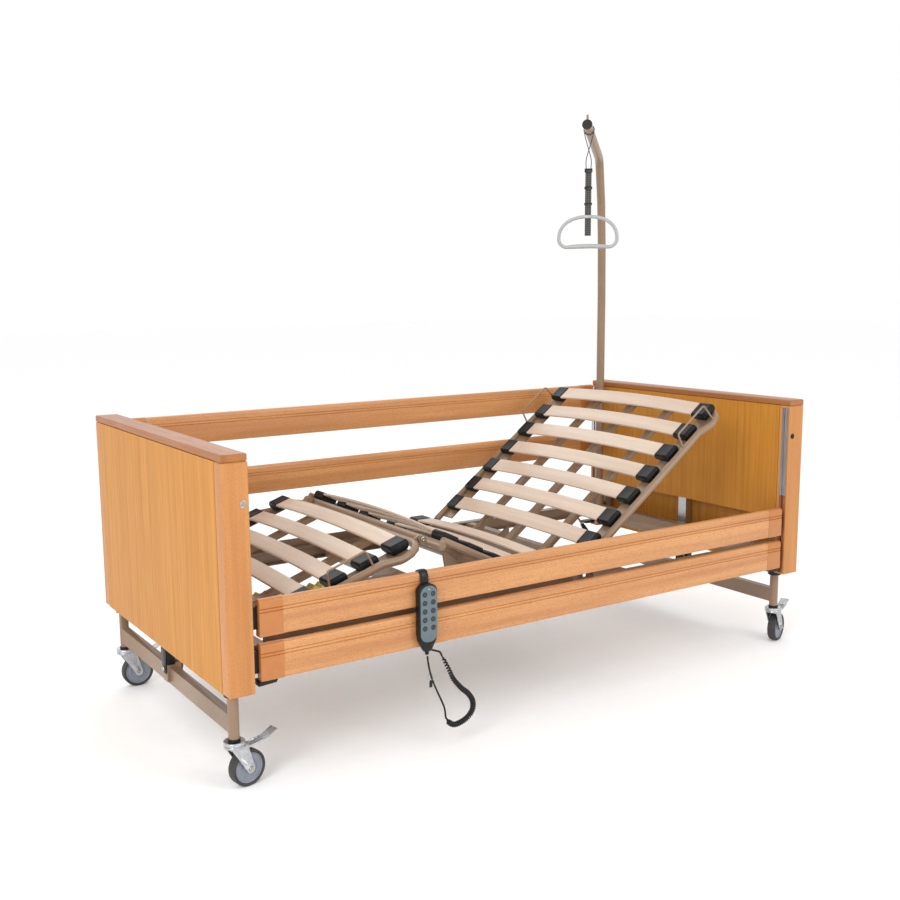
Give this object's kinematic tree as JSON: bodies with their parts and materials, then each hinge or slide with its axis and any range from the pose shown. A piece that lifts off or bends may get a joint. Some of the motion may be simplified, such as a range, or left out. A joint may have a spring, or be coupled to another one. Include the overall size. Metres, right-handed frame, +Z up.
{
  "type": "adjustable care bed",
  "caption": "Height-adjustable slatted care bed with end boards, sliding side rails, tilting back, thigh and calf sections, braked castors, lifting pole with grip and wired handset.",
  "frame": {"origin": "middle of the footprint on the floor, with the castors, brake pedals and handset counted and the free cord left out", "axes": "+X towards the head end, +Y towards the right side of a person lying in it, +Z up; the raised side rails are on +Y"},
  "size_m": [2.2716, 1.0698, 1.9018],
  "materials": {
    "beech": "light beech decor, satin",
    "panel": "yellow beech laminate, satin",
    "steel": "beige-brown powder coat, semi-gloss",
    "slat": "pale laminated birch, satin",
    "zinc": "bright zinc plating",
    "wheel": "grey rubber tyre on a blue-grey plastic disc",
    "aluminium": "anodised extrusion",
    "grip": "light grey plastic",
    "webbing": "dark grey woven webbing",
    "black": "black plastic",
    "cable": "black cable sheath",
    "housing": "dark grey drive housing"
  },
  "bodies": {
    "foot_chassis": {"foot_leg_frame": "steel"},
    "bed": {"base_frame": "steel", "drive_unit": "housing", "seat_slat_1": "slat", "seat_slat_2": "slat", "cord_lead_in": "cable", "curly_cord": "cable", "handset_lead": "cable", "foot_panel": "panel", "foot_cap_board": "beech", "foot_lift_motor": "aluminium", "foot_left_post": "beech", "foot_left_rail_track": "aluminium", "foot_right_post": "beech", "foot_right_rail_track": "aluminium", "head_panel": "panel", "head_cap_board": "beech", "head_lift_motor": "aluminium", "head_left_post": "beech", "head_left_rail_track": "aluminium", "head_right_post": "beech", "head_right_rail_track": "aluminium"},
    "head_chassis": {"head_leg_frame": "steel"},
    "foot_left_castor": {"foot_left_castor_fork": "zinc"},
    "foot_left_castor_wheel": {"foot_left_castor_wheel": "wheel"},
    "foot_left_castor_pedal": {"foot_left_castor_brake_pedal": "zinc"},
    "foot_right_castor": {"foot_right_castor_fork": "zinc"},
    "foot_right_castor_wheel": {"foot_right_castor_wheel": "wheel"},
    "foot_right_castor_pedal": {"foot_right_castor_brake_pedal": "zinc"},
    "head_left_castor": {"head_left_castor_fork": "zinc"},
    "head_left_castor_wheel": {"head_left_castor_wheel": "wheel"},
    "head_left_castor_pedal": {"head_left_castor_brake_pedal": "zinc"},
    "head_right_castor": {"head_right_castor_fork": "zinc"},
    "head_right_castor_wheel": {"head_right_castor_wheel": "wheel"},
    "head_right_castor_pedal": {"head_right_castor_brake_pedal": "zinc"},
    "back": {"back_frame": "steel", "back_slat_1": "slat", "back_slat_2": "slat", "back_slat_3": "slat", "back_slat_4": "slat", "back_slat_5": "slat", "back_slat_6": "slat", "back_slat_7": "slat"},
    "thigh": {"thigh_frame": "steel", "thigh_slat_1": "slat", "thigh_slat_2": "slat", "thigh_slat_3": "slat"},
    "calf": {"calf_frame": "steel", "calf_slat_1": "slat", "calf_slat_2": "slat", "calf_slat_3": "slat", "calf_slat_4": "slat"},
    "left_upper_rail": {"left_upper_side_rail": "beech"},
    "left_lower_rail": {"left_lower_side_rail": "beech"},
    "right_upper_rail": {"right_upper_side_rail": "beech"},
    "right_lower_rail": {"right_lower_side_rail": "beech"},
    "pole": {"lifting_pole": "steel"},
    "trapeze": {"trapeze_strap": "webbing", "trapeze_grip": "grip"},
    "handset": {"handset": "black"}
  },
  "joints": [
    {"name": "foot_lift", "type": "slide", "parent": "foot_chassis", "child": "bed", "axis": [0, 0, 1], "range_m": [0, 0.4]},
    {"name": "head_lift", "type": "slide", "parent": "bed", "child": "head_chassis", "axis": [0, 0, -1], "range_m": [0, 0.4]},
    {"name": "foot_left_castor_swivel", "type": "hinge", "parent": "foot_chassis", "child": "foot_left_castor", "pos_m": [-1.0995, -0.438, 0.125], "axis": [0, 0, 1], "continuous": true},
    {"name": "foot_left_castor_roll", "type": "hinge", "parent": "foot_left_castor", "child": "foot_left_castor_wheel", "pos_m": [-1.06405, -0.43175, 0.05], "axis": [-0.1736, 0.9848, 0], "continuous": true},
    {"name": "foot_left_castor_brake", "type": "hinge", "parent": "foot_left_castor", "child": "foot_left_castor_pedal", "pos_m": [-1.08768, -0.43592, 0.1085], "axis": [-0.1736, 0.9848, 0], "range_deg": [0, 9]},
    {"name": "foot_right_castor_swivel", "type": "hinge", "parent": "foot_chassis", "child": "foot_right_castor", "pos_m": [-1.0995, 0.466, 0.125], "axis": [0, 0, 1], "continuous": true},
    {"name": "foot_right_castor_roll", "type": "hinge", "parent": "foot_right_castor", "child": "foot_right_castor_wheel", "pos_m": [-1.0635, 0.466, 0.05], "axis": [0, 1, 0], "continuous": true},
    {"name": "foot_right_castor_brake", "type": "hinge", "parent": "foot_right_castor", "child": "foot_right_castor_pedal", "pos_m": [-1.0875, 0.466, 0.1085], "axis": [0, 1, 0], "range_deg": [0, 9]},
    {"name": "head_left_castor_swivel", "type": "hinge", "parent": "head_chassis", "child": "head_left_castor", "pos_m": [1.0085, -0.438, 0.125], "axis": [0, 0, 1], "continuous": true},
    {"name": "head_left_castor_roll", "type": "hinge", "parent": "head_left_castor", "child": "head_left_castor_wheel", "pos_m": [1.04233, -0.42569, 0.05], "axis": [-0.342, 0.9397, 0], "continuous": true},
    {"name": "head_left_castor_brake", "type": "hinge", "parent": "head_left_castor", "child": "head_left_castor_pedal", "pos_m": [1.01978, -0.4339, 0.1085], "axis": [-0.342, 0.9397, 0], "range_deg": [0, 9]},
    {"name": "head_right_castor_swivel", "type": "hinge", "parent": "head_chassis", "child": "head_right_castor", "pos_m": [1.0085, 0.466, 0.125], "axis": [0, 0, 1], "continuous": true},
    {"name": "head_right_castor_roll", "type": "hinge", "parent": "head_right_castor", "child": "head_right_castor_wheel", "pos_m": [1.04371, 0.47348, 0.05], "axis": [-0.2079, 0.9781, 0], "continuous": true},
    {"name": "head_right_castor_brake", "type": "hinge", "parent": "head_right_castor", "child": "head_right_castor_pedal", "pos_m": [1.02024, 0.46849, 0.1085], "axis": [-0.2079, 0.9781, 0], "range_deg": [0, 9]},
    {"name": "back_tilt", "type": "hinge", "parent": "bed", "child": "back", "pos_m": [0.121, 0.014, 0.405], "axis": [0, -1, 0], "range_deg": [-37, 33]},
    {"name": "thigh_tilt", "type": "hinge", "parent": "bed", "child": "thigh", "pos_m": [-0.1245, 0.014, 0.405], "axis": [0, 1, 0], "range_deg": [-26.5, 8.5]},
    {"name": "calf_tilt", "type": "hinge", "parent": "thigh", "child": "calf", "pos_m": [-0.45831, 0.014, 0.57143], "axis": [0, 1, 0], "range_deg": [-14.58, 45.36]},
    {"name": "left_upper_rail_slide", "type": "slide", "parent": "bed", "child": "left_upper_rail", "axis": [0, 0, 1], "range_m": [0, 0.365]},
    {"name": "left_lower_rail_slide", "type": "slide", "parent": "bed", "child": "left_lower_rail", "axis": [0, 0, 1], "range_m": [0, 0.287]},
    {"name": "right_upper_rail_slide", "type": "slide", "parent": "bed", "child": "right_upper_rail", "axis": [0, 0, -1], "range_m": [0, 0.365]},
    {"name": "right_lower_rail_slide", "type": "slide", "parent": "bed", "child": "right_lower_rail", "axis": [0, 0, -1], "range_m": [0, 0.287]},
    {"name": "pole_swivel", "type": "hinge", "parent": "bed", "child": "pole", "pos_m": [0.9295, 0.434, 0.4], "axis": [0, 0, 1], "range_deg": [-60, 60]},
    {"name": "trapeze_swing", "type": "hinge", "parent": "pole", "child": "trapeze", "pos_m": [0.5675, 0.1081, 1.85675], "axis": [-0.7257, -0.6667, 0.1701], "range_deg": [-45, 45]},
    {"name": "handset_lift_off", "type": "slide", "parent": "left_upper_rail", "child": "handset", "axis": [0, 0, 1], "range_m": [0, 0.12]}
  ],
  "couplings": [
    {"joint": "head_lift", "follows": "foot_lift", "ratio": 1},
    {"joint": "calf_tilt", "follows": "thigh_tilt", "ratio": -1.7096},
    {"joint": "left_lower_rail_slide", "follows": "left_upper_rail_slide", "ratio": 0.784},
    {"joint": "right_lower_rail_slide", "follows": "right_upper_rail_slide", "ratio": 0.784}
  ]
}
